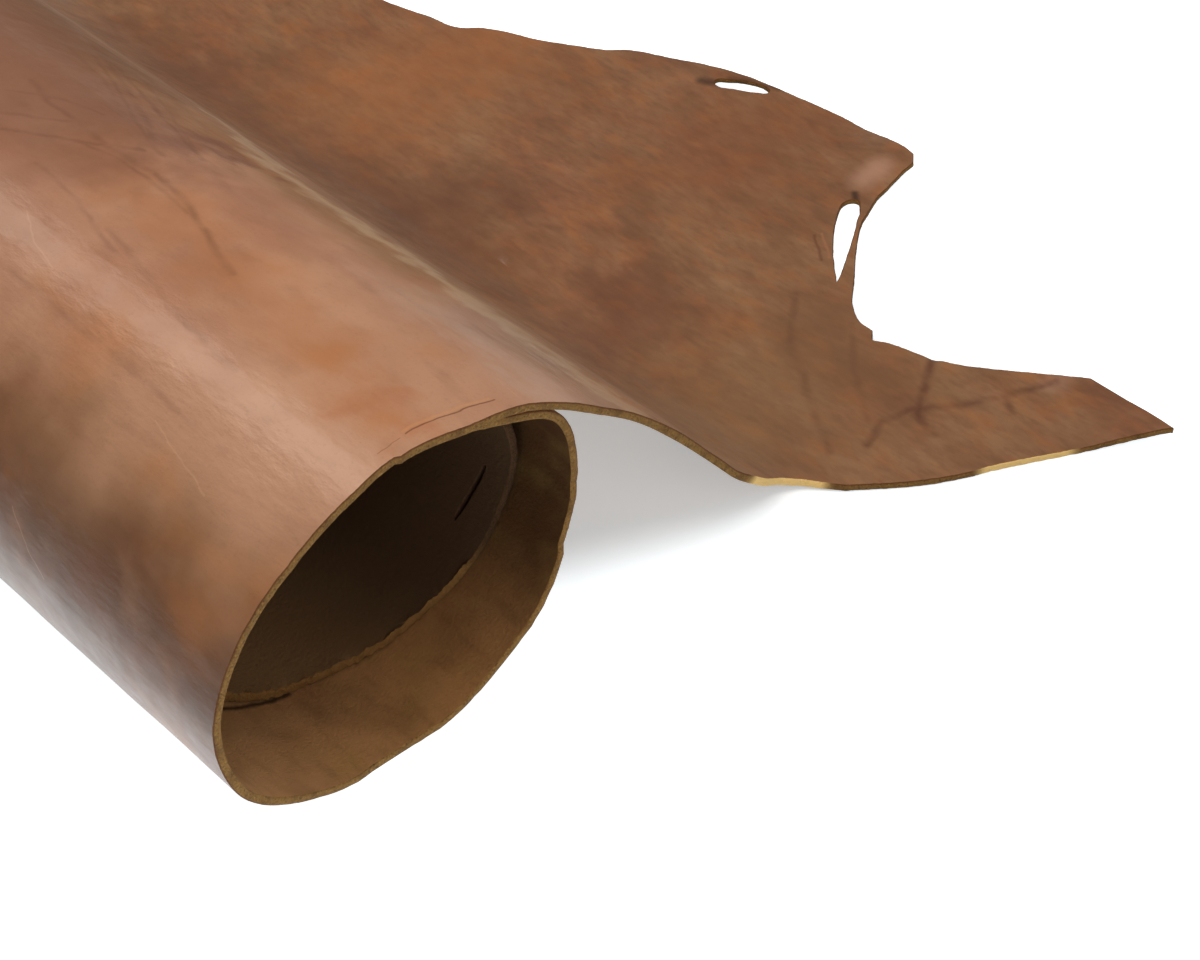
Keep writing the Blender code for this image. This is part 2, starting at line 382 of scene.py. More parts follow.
def make_die(name, rings, steps, settings):
    """Prism with the given outlines, taller than the leather is thick."""
    curve = bpy.data.curves.new(name, "CURVE")
    curve.dimensions = "2D"
    curve.fill_mode = "BOTH"
    curve.extrude = THICKNESS
    curve.resolution_u = steps
    for points, shapes in rings:
        add_ring(curve, points, shapes)
    die = bpy.data.objects.new(name, curve)
    bpy.context.collection.objects.link(die)
    bpy.context.view_layer.update()
    graph = bpy.context.evaluated_depsgraph_get()
    mesh = bpy.data.meshes.new_from_object(die.evaluated_get(graph))
    bpy.data.objects.remove(die)
    shape = bmesh.new()
    shape.from_mesh(mesh)
    bmesh.ops.remove_doubles(shape, verts=shape.verts, dist=0.001)
    bmesh.ops.recalc_face_normals(shape, faces=shape.faces)
    for vert in shape.verts:
        vert.co += ragged(vert.co, settings.raggedness)
    shape.to_mesh(mesh)
    shape.free()
    die = bpy.data.objects.new(name, mesh)
    bpy.context.collection.objects.link(die)
    return die


# Spacing of the flat hide's columns: up to this place along, this far apart.
Stretch = namedtuple("Stretch", "until spacing")
COLUMNS = (Stretch(-560, 9.0), Stretch(288, 5.5), Stretch(552, 4.5))
ROW_SPACING = 8.5
SPARE = 8  # leather left around the outline before it is cut


def column_places(start):
    """Places along the hide of its columns, close together where it shows most."""
    places = [start]
    for stretch in COLUMNS:
        count = math.ceil((stretch.until - places[-1]) / stretch.spacing)
        step = (stretch.until - places[-1]) / count
        places += [places[-1] + step * (turn + 1) for turn in range(count)]
    return places


def make_flat_hide():
    """Flat leather larger than the side, with a grid of edges for it to bend along."""
    places = column_places(min(corner.along for corner in OUTLINE) - SPARE)
    low = min(corner.across for corner in OUTLINE) - SPARE
    high = max(corner.across for corner in OUTLINE) + SPARE
    rows = math.ceil((high - low) / ROW_SPACING)
    columns = len(places) - 1
    shape = bmesh.new()
    bmesh.ops.create_grid(shape, x_segments=columns, y_segments=rows, size=0.5)
    for vert in shape.verts:
        vert.co.x = places[round((vert.co.x + 0.5) * columns)]
        vert.co.y = low + (vert.co.y + 0.5) * (high - low)
        vert.co.z = -THICKNESS / 2
    top = bmesh.ops.extrude_face_region(shape, geom=shape.faces[:])["geom"]
    raised = [item for item in top if isinstance(item, bmesh.types.BMVert)]
    bmesh.ops.translate(shape, vec=(0, 0, THICKNESS), verts=raised)
    bmesh.ops.recalc_face_normals(shape, faces=shape.faces)
    mesh = bpy.data.meshes.new("rolled_hide")
    shape.to_mesh(mesh)
    shape.free()
    hide = bpy.data.objects.new("rolled_hide", mesh)
    bpy.context.collection.objects.link(hide)
    return hide


def cut_with(hide, dies):
    """Press the outline out of the flat leather, then punch its holes."""
    for die, operation in dies:
        boolean = hide.modifiers.new(die.name, "BOOLEAN")
        boolean.operation = operation
        boolean.solver = "EXACT"
        boolean.object = die
    bpy.context.view_layer.update()
    graph = bpy.context.evaluated_depsgraph_get()
    shape = bmesh.new()
    shape.from_object(hide, graph)
    hide.modifiers.clear()
    for die, operation in dies:
        bpy.data.meshes.remove(die.data)
    return shape


# Levels that round the cut edge over: height from the leather's middle, and distance drawn in.
Level = namedtuple("Level", "height drawn_in")
EDGE_LEVELS = (
    Level(2.25, 0.6),
    Level(1.75, 0.12),
    Level(0.8, 0.0),
    Level(-0.8, 0.0),
    Level(-1.75, 0.15),
)
TRIMMED_FUZZ = 0.25
FIBRE_PERIOD = 2.3
FLARE_PERIOD = 3.1
FLARE = 0.3  # share by which the frayed edge's flesh side thickens, for each millimetre of fuzz
FLARE_UNEVENNESS = 0.5
OUTLINE_STEPS = 48
HOLE_STEPS = 6
SMOOTH_BELOW = 32  # degrees between two faces, past which their edge is sharp
GRAIN, FLESH, EDGE = range(3)


def is_wall(face):
    return abs(face.normal.z) < 0.5


def dress_edges(shape, settings):
    """Give the cut edge its rounded, fibrous section."""
    for level in EDGE_LEVELS[1:]:
        walls = [face for face in shape.faces if is_wall(face)]
        edges = {edge for face in walls for edge in face.edges}
        verts = {vert for face in walls for vert in face.verts}
        bmesh.ops.bisect_plane(
            shape, geom=[*verts, *edges, *walls], dist=0.01,
            plane_co=(0, 0, level.height), plane_no=(0, 0, 1),
        )
    shape.normal_update()
    moves = {}
    for face in shape.faces:
        face.material_index = EDGE if is_wall(face) else GRAIN if face.normal.z > 0 else FLESH
        if is_wall(face):
            for vert in face.verts:
                moves.setdefault(vert, Vector()).xy += face.normal.xy * face.calc_area()
    for vert, outwards in moves.items():
        outwards.normalize()
        drawn_in = {round(abs(level.height), 2): level.drawn_in for level in EDGE_LEVELS}
        inset = drawn_in.get(round(abs(vert.co.z), 2), 0.0)
        frayed = FRAYED[0] < vert.co.x < FRAYED[1] and vert.co.y < HIDE_MIDDLE
        fibres = (settings.fuzz if frayed else TRIMMED_FUZZ) * noise.noise(vert.co / FIBRE_PERIOD)
        vert.co += outwards * (fibres - inset)
        if frayed and vert.co.z < 0:
            vert.co.z *= 1 + settings.fuzz * (FLARE + FLARE_UNEVENNESS * noise.noise(vert.co / FLARE_PERIOD))


def make_rolled_hide(settings):
    """Cut the side flat, dress its edges, then roll it up."""
    outline = [(OUTLINE, [corner.shape for corner in OUTLINE])]
    holes = [(hole.points, hole_shapes(hole)) for hole in HOLES]
    die = make_die("cutting_die", outline, OUTLINE_STEPS, settings)
    punches = make_die("hole_punches", holes, HOLE_STEPS, settings)
    hide = make_flat_hide()
    shape = cut_with(hide, ((die, "INTERSECT"), (punches, "DIFFERENCE")))
    bmesh.ops.remove_doubles(shape, verts=shape.verts, dist=0.5)
    dress_edges(shape, settings)
    bmesh.ops.triangulate(shape, faces=[face for face in shape.faces if len(face.verts) > 4])
    place = shape.verts.layers.float_vector.new(PLACE)
    for vert in shape.verts:
        vert[place] = vert.co * MM
        vert.co = roll_up(vert.co, settings) * MM
    bmesh.ops.recalc_face_normals(shape, faces=shape.faces)
    shape.to_mesh(hide.data)
    shape.free()
    hide.data.shade_smooth()
    hide.data.set_sharp_from_angle(angle=math.radians(SMOOTH_BELOW))
    return hide


# ---- Materials ----

MIX_FACTOR, MIX_A, MIX_B, MIX_RESULT = 0, 6, 7, 2  # colour sockets of a Mix node

# Layers of colour on the grain, from the ground up: clouds of the given size in millimetres,
# `stretch` times as long across the hide as along it, where the noise rises from low to high.
Cloud = namedtuple("Cloud", "name colour amount size stretch low high")
GRAIN_CLOUDS = (
    Cloud("red ground", "#8b5238", 0.50, 95, 1.3, 0.44, 0.70),
    Cloud("orange patches", "#b5743f", 0.50, 60, 1.2, 0.50, 0.74),
    Cloud("worn wax", "#bd9172", 0.30, 30, 1.4, 0.52, 0.80),
    Cloud("soft shade", "#7a4d33", 0.22, 13, 2.0, 0.50, 0.78),
    Cloud("pores", "#5b3422", 0.12, 1.5, 1.2, 0.50, 0.80),
)
# Left by brushing the dye along the open end, where the hide is loose and drinks it.
FLAP_CLOUDS = (
    Cloud("dye drawn into the loose fibres", "#6e442c", 0.26, 14, 2.2, 0.36, 0.68),
    Cloud("brushed streaks", "#66402a", 0.30, 3.4, 3.0, 0.38, 0.72),
    Cloud("pale streaks", "#b98c64", 0.16, 4.6, 2.8, 0.44, 0.78),
    Cloud("smoky shade", "#6a4028", 0.45, 38, 1.8, 0.42, 0.70),
    Cloud("orange flecks", "#b36d38", 0.34, 12.0, 2.0, 0.46, 0.74),
)
FLESH_CLOUDS = (
    Cloud("greasy patches", "#7a5433", 0.70, 48, 1.0, 0.45, 0.72),
    Cloud("clean patches", "#b98c4e", 0.45, 30, 1.5, 0.50, 0.78),
    Cloud("shaved streaks", "#6a482a", 0.30, 8, 2.2, 0.48, 0.80),
    Cloud("nap", "#b78f5a", 0.22, 1.6, 1.3, 0.50, 0.80),
    Cloud("dark nap", "#5a3f26", 0.22, 1.2, 1.3, 0.52, 0.80),
)
FLESH_MOTTLES = (
    Cloud("brown mottles", "#573a1f", 0.30, 42, 1.2, 0.46, 0.72),
    Cloud("olive mottles", "#8f7440", 0.30, 30, 1.3, 0.46, 0.74),
    Cloud("wiped streaks", "#4a3219", 0.16, 6, 3.0, 0.46, 0.76),
)
EDGE_CLOUDS = (
    Cloud("dyed fibres", "#634322", 0.60, 11, 1.0, 0.42, 0.70),
    Cloud("pale fibres", "#b98c4c", 0.45, 1.7, 1.0, 0.50, 0.74),
    Cloud("dark fibres", "#382514", 0.60, 1.3, 1.0, 0.50, 0.72),
)

# Lines on the grain: half width in millimetres, colour and its amount.  The last three are painted shade at
# the holes.
Mark = namedtuple("Mark", "name width colour amount points")
MARKS_AND_HOLE_SHADE = (
    Mark("knife line", 0.8, "#6b3614", 0.80, ((-48, 11), (-28, 12), (2, 9))),
    Mark("knife line end", 0.6, "#7a451f", 0.50, ((-66, 10), (-52, 11))),
    Mark("knife line shoulder", 1.6, "#d49a66", 0.40, ((-48, 13), (-28, 14), (0, 11))),
    Mark("scratch", 0.8, "#e0b894", 0.14, ((-90, 222), (-84, 245), (-75, 266))),
    Mark("scratch 2", 0.7, "#e0b894", 0.18, ((-128, 60), (-121, 88), (-116, 110))),
    Mark("scratch 3", 0.7, "#e0b894", 0.18, ((-212, 130), (-190, 160))),
    Mark("scratch 4", 0.6, "#d9ae88", 0.20, ((14, 8), (18, 24))),
    Mark("closed scar", 1.6, "#6b3b27", 0.60, ((424, 127), (431, 136), (439, 146))),
    Mark("scar lip", 1.4, "#b07a54", 0.45, ((428, 125), (436, 135), (443, 144))),
    # Painted shade at the dark ends of the two toggle holes and in the groove past the rim hole.
    Mark("dark end of the notch hole", 4.0, "#2c1810", 0.8, ((482, 153), (487, 158))),
    Mark("dark end of the rim hole", 6.0, "#2c1810", 0.65, ((505, 307), (509, 299))),
    Mark("groove past the rim hole", 4.5, "#3a2015", 0.45, ((520, 294), (528, 282), (534, 268))),
)
# On the flesh: painted shadow in the gap under the second turn's cut edge.
FLESH_SHADOW_MARKS = (
    Mark("painted shadow under the second turn", 3, "#1a1008", 0.85, ((-297, 76), (-322, 71), (-350, 65))),
)
# Round stains on the grain, and two round painted highlights: radius in millimetres.
RoundPatch = namedtuple("RoundPatch", "name radius colour amount along across")
STAINS_AND_HIGHLIGHTS = (
    RoundPatch("orange stain", 15, "#b87538", 0.42, -36, 78),
    RoundPatch("orange stain 2", 12, "#b87538", 0.32, -52, 24),
    RoundPatch("plum blotch", 22, "#673629", 0.4, 65, 274),
    RoundPatch("plum blotch 2", 32, "#6f3e30", 0.35, 40, 280),
    RoundPatch("orange field", 110, "#a8683a", 0.50, 395, 440),
    RoundPatch("olive field", 110, "#80603f", 0.45, 325, 60),
    RoundPatch("red field", 90, "#87502f", 0.45, 470, 235),
    RoundPatch("dark blotch", 40, "#69402a", 0.5, 327, 190),
    RoundPatch("dark blotch 2", 55, "#69402a", 0.5, 298, 150),
    RoundPatch("dark blotch 3", 60, "#69402a", 0.5, 288, 320),
    # Painted highlights on the curled corner beside the notch and on the tip.
    RoundPatch("painted highlight on the curled corner", 16, "#c79a84", 0.6, 506, 161),
    RoundPatch("painted highlight on the tip", 12, "#b58a78", 0.4, 436, -42),
)
# Wide bands along the roll, each as a line with a half width in millimetres: orange flushes and
# darker bands, painted shade in the valley where the flap falls and in the hollow by the rim, and a
# painted highlight along the crest.
WIDE_TONES_AND_PAINTED_LIGHT = (
    Mark("orange flush", 34, "#b3733f", 0.40, ((-22, 300), (-24, 220), (-32, 150), (-38, 70))),
    Mark("orange flush by the rim", 20, "#b36b3c", 0.40, ((-50, 40), (-40, 15))),
    Mark("flank shade", 140, "#86543f", 0.50, ((-60, 300), (-50, 420))),
    Mark("neck shade", 100, "#704631", 0.66, ((10, 315), (30, 430), (40, 860))),
    Mark("belly shade", 110, "#704631", 0.50, ((-60, 420), (-30, 480), (-20, 780))),
    Mark("crest shade", 70, "#6a4630", 0.60, ((92, 420), (98, 520), (98, 660))),
    Mark("valley shade", 75, "#6b4128", 0.55, ((262, 250), (270, 400), (262, 600))),
    # Painted highlight along the crest, where it turns away towards the fall.
    Mark("painted crest highlight", 19, "#c9b092", 0.45, (
        (100, -10), (99, 150), (101, 290), (128, 340), (158, 400), (200, 440),
    )),
    # Painted shade in the hollow by the rim.
    Mark("hollow by the rim", 30, "#7a5a42", 0.35, ((215, 40), (235, 120), (250, 200))),
)
# Stretches of the cut edge that the dye missed.
UNDYED = (
    Mark("undyed at the foot", 16.0, "#ffd88e", 1.6, ((237, 0), (254, 1), (272, -4))),
    Mark("undyed by the tip", 16.0, "#ffd88e", 1.6, ((358, -65), (372, -73), (388, -83))),
)
# Where the coat is worn off, which changes the gloss and not the colour.
RUBBED = Mark("rubbed crest", 120.0, None, 1.2, ((70, 170), (75, 300), (80, 1000)))

# Colours that come in along the hide, from nothing at `start` to `amount` at `end`.
Zone = namedtuple("Zone", "name colour start end amount")
LOOSE = Zone("loose open end", None, 90.0, 260.0, 1.0)
UNDER_ROLL = Zone("shade under the roll", "#5d3f2a", -150.0, -215.0, 0.75)
# Painted light on the outer turn's flesh along the bottom of the roll, and painted shade as it rises inside
# on the open end's side.
FLESH_LIGHT_AND_SHADE = (
    Zone("painted light along the bottom", "#d3a374", -420.0, -260.0, 0.65),
    Zone("dim outer turn", "#3a2412", -410.0, -510.0, 0.85),
)
DYED_AND_SHADED_ZONES = (
    Zone("dye soaked through", "#a07c55", OUTER_TURN_STARTS - 60, OUTER_TURN_STARTS - 90, 0.88),
    # Painted shade deep inside the roll.
    Zone("deep in the roll", "#33231b", -930.0, -1060.0, 0.80),
)
SKIN = Zone("dyed skin of the edge", "#6a4027", 1.3, 1.9, 0.8)  # by height in the leather
# Painted shade on the second turn's cut edge where it ends inside the roll.
SHADED_INNER_EDGE = Zone("painted shade on the inner edge", "#3d261a", -1062.0, -1088.0, 0.85)

# Bands along the hide, with soft ends.
Band = namedtuple("Band", "name low high soft amount")
# Paler where stretched over the roll, as pull-up leather is, and partly painted light and a painted
# highlight on the roll's top.
PULLED_AND_LIT = Band("stretched over the roll", -75.0, 105.0, 42.0, 1.0)
# Painted shade on the lower flank of the roll, where less light falls.
SHADED_FLANK = Band("lower flank of the roll", -190.0, -98.0, 32.0, 0.80)
FURRY = Band("loose fibres of the edge", *FRAYED, 18.0, 1.0)

# Sizes of the patterns' wander, in millimetres.
FIBRE_WANDER = Vector((7.0, 7.0, 0.0))
FIBRE_WANDER_PERIOD = 22
BLEED = Vector((75.0, 110.0, 0.0))  # of the wide shades, and of stains of at least this radius
BLEED_PERIOD = 26
BLEEDING_RADIUS = 18
BAND_WANDER = 110.0
BAND_WANDER_PERIOD = 70
CREASE_SHADE = "#633a26"
CREASE_SHADE_WIDTH = 1.25  # of the crease's own half width


def linear(hex_colour):
    """Linear RGBA of an sRGB hex colour."""
    parts = [int(hex_colour[start:start + 2], 16) / 255 for start in (1, 3, 5)]
    return (*[part / 12.92 if part <= 0.04045 else ((part + 0.055) / 1.055) ** 2.4 for part in parts], 1)


def add(tree, kind, inputs=None, **settings):
    """Add a node with its settings, and give its inputs their values or links."""
    node = tree.nodes.new(kind)
    for name, value in settings.items():
        setattr(node, name, value)
    for name, value in (inputs or {}).items():
        if isinstance(value, bpy.types.NodeSocket):
            tree.links.new(value, node.inputs[name])
        else:
            node.inputs[name].default_value = value
    return node


def new_material(name):
    material = bpy.data.materials.new(name)
    material.use_nodes = True
    return material, material.node_tree, material.node_tree.nodes["Principled BSDF"]


def flat_place(tree):
    """Millimetres along, across and through the flat hide, plain and with a fibrous wander."""
    place = add(tree, "ShaderNodeAttribute", attribute_name=PLACE).outputs["Vector"]
    place = add(tree, "ShaderNodeVectorMath", {0: place, 1: (1 / MM,) * 3}, operation="MULTIPLY").outputs[0]
    bent = wandered(tree, place, FIBRE_WANDER, FIBRE_WANDER_PERIOD, 3.0)
    plan = add(tree, "ShaderNodeVectorMath", {0: bent, 1: (1, 1, 0)}, operation="MULTIPLY").outputs[0]
    return place, plan


def wandered(tree, place, reach, period, detail):
    """Places moved about by a noise of the given period."""
    wander = add(tree, "ShaderNodeTexNoise", {"Vector": place, "Scale": 1 / period, "Detail": detail})
    offset = add(tree, "ShaderNodeVectorMath", {
        0: wander.outputs["Color"], 1: reach, 2: reach / -2,
    }, operation="MULTIPLY_ADD").outputs[0]
    return add(tree, "ShaderNodeVectorMath", {0: place, 1: offset}, operation="ADD").outputs[0]


def cloud_mask(tree, place, cloud):
    """Share of a cloud's colour at each place."""
    sizes = (1 / cloud.size, 1 / (cloud.size * cloud.stretch), 1 / cloud.size)
    scaled = add(tree, "ShaderNodeVectorMath", {0: place, 1: sizes}, operation="MULTIPLY").outputs[0]
    shifted = add(tree, "ShaderNodeVectorMath", {0: scaled, 1: (cloud.size, 0, 0)}, operation="ADD")
    texture = add(tree, "ShaderNodeTexNoise", {"Vector": shifted.outputs[0], "Scale": 1.0, "Detail": 4.0})
    return add(tree, "ShaderNodeMapRange", {
        "Value": texture.outputs["Fac"],
        "From Min": cloud.low, "From Max": cloud.high, "To Max": cloud.amount,
    }, interpolation_type="SMOOTHSTEP").outputs[0]


def line_mask(tree, plan, mark):
    """A mark's amount on its line, falling to nothing at its half width."""
    nearest = None
    for near, far in zip(mark.points, mark.points[1:]):
        near, far = Vector((*near, 0)), Vector((*far, 0))
        span = far - near
        offset = add(tree, "ShaderNodeVectorMath", {0: plan, 1: near}, operation="SUBTRACT").outputs[0]
        share = add(tree, "ShaderNodeVectorMath", {
            0: offset, 1: span / span.length_squared,
        }, operation="DOT_PRODUCT").outputs["Value"]
        share = add(tree, "ShaderNodeClamp", {"Value": share}).outputs[0]
        foot = add(tree, "ShaderNodeVectorMath", {0: span, "Scale": share}, operation="SCALE").outputs[0]
        gap = add(tree, "ShaderNodeVectorMath", {0: offset, 1: foot}, operation="DISTANCE")
        gap = gap.outputs["Value"]
        nearest = gap if nearest is None else add(
            tree, "ShaderNodeMath", {0: nearest, 1: gap}, operation="MINIMUM").outputs[0]
    return add(tree, "ShaderNodeMapRange", {
        "Value": nearest, "From Min": mark.width, "From Max": 0.0, "To Max": mark.amount,
    }, interpolation_type="SMOOTHSTEP").outputs[0]


def strongest(tree, masks):
    """Highest of several masks at each place."""
    whole = masks[0]
    for mask in masks[1:]:
        whole = add(tree, "ShaderNodeMath", {0: whole, 1: mask}, operation="MAXIMUM").outputs[0]
    return whole


def zone_mask(tree, value, zone):
    """Share of a zone's colour at each value."""
    return add(tree, "ShaderNodeMapRange", {
        "Value": value, "From Min": zone.start, "From Max": zone.end, "To Max": zone.amount,
    }, interpolation_type="SMOOTHSTEP").outputs[0]


def band_mask(tree, value, band):
    """A band's amount where a value lies within it, with soft ends."""
    rise = zone_mask(tree, value, Zone("", None, band.low - band.soft, band.low + band.soft, 1.0))
    fall = zone_mask(tree, value, Zone("", None, band.high + band.soft, band.high - band.soft, band.amount))
    return add(tree, "ShaderNodeMath", {0: rise, 1: fall}, operation="MULTIPLY").outputs[0]


def paint(tree, ground, layers):
    """Lay colours over the ground, each where its mask says; a colour is a hex or a setting."""
    for colour, mask in layers:
        colour = linear(colour) if isinstance(colour, str) else colour
        ground = add(tree, "ShaderNodeMix", {
            MIX_FACTOR: mask, MIX_A: ground, MIX_B: colour,
        }, data_type="RGBA").outputs[MIX_RESULT]
    return ground


def paint_all(tree, ground, mask_of, where, rows):
    """Lay the rows of a table of colours over the ground."""
    return paint(tree, ground, [(row.colour, mask_of(tree, where, row)) for row in rows])


def crease_marks():
    """Growth wrinkles as marks, for their shade."""
    return [
        Mark(crease.name, crease.width * CREASE_SHADE_WIDTH, CREASE_SHADE, crease.depth, crease.points)
        for crease in CREASES
    ]


def round_mark(stain):
    """A round stain or round painted highlight as a short mark."""
    ends = [(stain.along + side * stain.radius / 3, stain.across) for side in (-1, 1)]
    return Mark(stain.name, stain.radius, stain.colour, stain.amount, ends)


def grain_colour(tree, settings, place, plan):
    """Colour of the grain: its bands, clouds, shades, stains, wrinkles and marks in turn."""
    along = add(tree, "ShaderNodeSeparateXYZ", {"Vector": plan}).outputs["X"]
    wide = add(tree, "ShaderNodeTexNoise", {
        "Vector": plan, "Scale": 1 / BAND_WANDER_PERIOD, "Detail": 3.0}).outputs["Fac"]
    shifted = add(tree, "ShaderNodeMath", {
        0: wide, 1: BAND_WANDER, 2: along}, operation="MULTIPLY_ADD").outputs[0]
    loose = zone_mask(tree, shifted, LOOSE)
    ground = paint(tree, settings.grain_colour, [
        # partly pull-up paling, partly painted light and highlight on the roll's top
        (settings.pulled_and_lit_colour, band_mask(tree, shifted, PULLED_AND_LIT)),
        # painted shade on the lower flank of the roll
        ("#6f4326", band_mask(tree, shifted, SHADED_FLANK)),
        (UNDER_ROLL.colour, zone_mask(tree, along, UNDER_ROLL)),
    ])
    ground = paint_all(tree, ground, cloud_mask, place, GRAIN_CLOUDS)
    for cloud in FLAP_CLOUDS:
        mask = cloud_mask(tree, place, cloud)
        mask = add(tree, "ShaderNodeMath", {0: mask, 1: loose}, operation="MULTIPLY").outputs[0]
        ground = paint(tree, ground, [(cloud.colour, mask)])
    spread = wandered(tree, plan, BLEED, BLEED_PERIOD, 5.0)
    ground = paint_all(tree, ground, line_mask, spread, WIDE_TONES_AND_PAINTED_LIGHT)
    # Stains, and the round painted highlights.
    for stain in STAINS_AND_HIGHLIGHTS:
        where = spread if stain.radius >= BLEEDING_RADIUS else plan
        ground = paint_all(tree, ground, line_mask, where, [round_mark(stain)])
    creases = strongest(tree, [line_mask(tree, plan, mark) for mark in crease_marks()])
    fading = add(tree, "ShaderNodeTexNoise", {"Vector": plan, "Scale": 1 / 16, "Detail": 2.0}).outputs["Fac"]
    fading = add(tree, "ShaderNodeMapRange", {
        "Value": fading, "From Min": 0.35, "From Max": 0.62, "To Min": 0.22, "To Max": 0.72,
    }).outputs[0]
    shade = add(tree, "ShaderNodeMath", {0: creases, 1: fading}, operation="MULTIPLY").outputs[0]
    ground = paint(tree, ground, [(CREASE_SHADE, shade)])
    return paint_all(tree, ground, line_mask, plan, MARKS_AND_HOLE_SHADE)


def make_grain(settings):
    """Vegetable-tanned cowhide, drum-dyed brown, waxed and glazed: smooth and softly glossy, and
    paler where it is stretched over the roll, as pull-up leather is; that pale colour also holds
    painted light and a painted highlight on the roll's top."""
    material, tree, shader = new_material("waxed_vegetable_tanned_grain")
    place, plan = flat_place(tree)
    tree.links.new(grain_colour(tree, settings, place, plan), shader.inputs["Base Color"])

    # Rubbed along the crest, where the wax coat is gone and the grain is duller.
    worn = add(tree, "ShaderNodeTexNoise", {"Vector": place, "Scale": 1 / 14, "Detail": 5.0}).outputs["Fac"]
    roughness = add(tree, "ShaderNodeMapRange", {
        "Value": worn, "From Min": 0.3, "From Max": 0.7, "To Min": 0.42, "To Max": 0.60,
    }).outputs[0]
    rubbed = line_mask(tree, plan, RUBBED)
    roughness = add(tree, "ShaderNodeMath", {
        0: rubbed, 1: 0.15, 2: roughness}, operation="MULTIPLY_ADD").outputs[0]
    tree.links.new(roughness, shader.inputs["Roughness"])
    shader.inputs["Specular IOR Level"].default_value = 0.3
    coat = add(tree, "ShaderNodeMapRange", {"Value": rubbed, "To Min": 0.7, "To Max": 0.0}).outputs[0]
    tree.links.new(coat, shader.inputs["Coat Weight"])
    shader.inputs["Coat Roughness"].default_value = 0.24
    shader.inputs["Coat IOR"].default_value = 1.45
    shader.inputs["Sheen Weight"].default_value = 0.12
    shader.inputs["Sheen Roughness"].default_value = 0.25
    shader.inputs["Sheen Tint"].default_value = linear("#fff0d8")

    # Hair pores about 1 mm apart over soft streaks about 6 mm wide and 16 mm long.
    pores = add(tree, "ShaderNodeTexNoise", {
        "Vector": place, "Scale": 1 / settings.pore_spacing, "Detail": 3.0}).outputs["Fac"]
    long_way = add(tree, "ShaderNodeVectorMath", {
        0: place, 1: (1 / 6, 1 / 16, 1 / 6)}, operation="MULTIPLY").outputs[0]
    streaks = add(tree, "ShaderNodeTexNoise", {
        "Vector": long_way, "Scale": 1.0, "Detail": 3.0}).outputs["Fac"]
    height = add(tree, "ShaderNodeMath", {
        0: pores, 1: 0.10, 2: streaks}, operation="MULTIPLY_ADD").outputs[0]
    bump = add(tree, "ShaderNodeBump", {"Height": height, "Distance": 0.0006, "Strength": 0.7})
    tree.links.new(bump.outputs["Normal"], shader.inputs["Normal"])
    tree.links.new(bump.outputs["Normal"], shader.inputs["Coat Normal"])
    return material


def make_flesh(settings):
    """Shaved flesh side of the hide: short matt nap, paler and yellower than the dyed grain, and
    browner on the inner turns, where the dye soaked through.  Painted light and shade lie on the
    outer turn, painted shade deep in the roll, and a painted shadow under the second turn's edge."""
    material, tree, shader = new_material("shaved_flesh_side")
    place, plan = flat_place(tree)
    along = add(tree, "ShaderNodeSeparateXYZ", {"Vector": plan}).outputs["X"]
    ground = paint_all(tree, settings.flesh_colour, cloud_mask, place, FLESH_CLOUDS)
    ground = paint_all(tree, ground, zone_mask, along, FLESH_LIGHT_AND_SHADE)
    ground = paint_all(tree, ground, cloud_mask, place, FLESH_MOTTLES)
    ground = paint_all(tree, ground, zone_mask, along, DYED_AND_SHADED_ZONES)
    ground = paint_all(tree, ground, line_mask, plan, FLESH_SHADOW_MARKS)
    tree.links.new(ground, shader.inputs["Base Color"])
    shader.inputs["Roughness"].default_value = 0.92
    shader.inputs["Specular IOR Level"].default_value = 0.12
    # Nap about 1.6 mm long, drawn coarser than it is so that it shows.
    nap = add(tree, "ShaderNodeTexNoise", {"Vector": place, "Scale": 1 / 1.6, "Detail": 4.0}).outputs["Fac"]
    bump = add(tree, "ShaderNodeBump", {"Height": nap, "Distance": 0.0008, "Strength": 0.8})
    tree.links.new(bump.outputs["Normal"], shader.inputs["Normal"])
    return material


def make_edge(settings):
    """Knife-cut edge: ochre core of matted fibres under a thin dyed skin, with a few stretches
    that the dye missed, and painted shade on the second turn's edge where it ends inside the roll."""
    material, tree, shader = new_material("knife_cut_edge")
    place, plan = flat_place(tree)
    level = add(tree, "ShaderNodeSeparateXYZ", {"Vector": place}).outputs["Z"]
    along = add(tree, "ShaderNodeSeparateXYZ", {"Vector": plan}).outputs["X"]
    ground = paint_all(tree, settings.edge_colour, cloud_mask, place, EDGE_CLOUDS)
    ground = paint(tree, ground, [
        (SKIN.colour, zone_mask(tree, level, SKIN)),
        ("#8a6436", band_mask(tree, along, FURRY)),
        (SHADED_INNER_EDGE.colour, zone_mask(tree, along, SHADED_INNER_EDGE)),
        (UNDYED[0].colour, strongest(tree, [line_mask(tree, plan, mark) for mark in UNDYED])),
    ])
    tree.links.new(ground, shader.inputs["Base Color"])
    shader.inputs["Roughness"].default_value = 0.9
    shader.inputs["Specular IOR Level"].default_value = 0.25
    # Fibre bundles about 1 mm thick.
    fibres = add(tree, "ShaderNodeTexNoise", {
        "Vector": place, "Scale": 1 / 1.1, "Detail": 4.0}).outputs["Fac"]
    bump = add(tree, "ShaderNodeBump", {"Height": fibres, "Distance": 0.0010, "Strength": 1.0})
    tree.links.new(bump.outputs["Normal"], shader.inputs["Normal"])
    return material


# ---- Stage ----

VIEW_FROM = Vector((-0.50422, -1.09413, 0.91916))
VIEW_ANGLES = (42.0, 43.396)  # degrees down from level, and from +Y towards +X
LENS = 76.632
SENSOR_WIDTH = 36
FLOOR_SIZE = 12

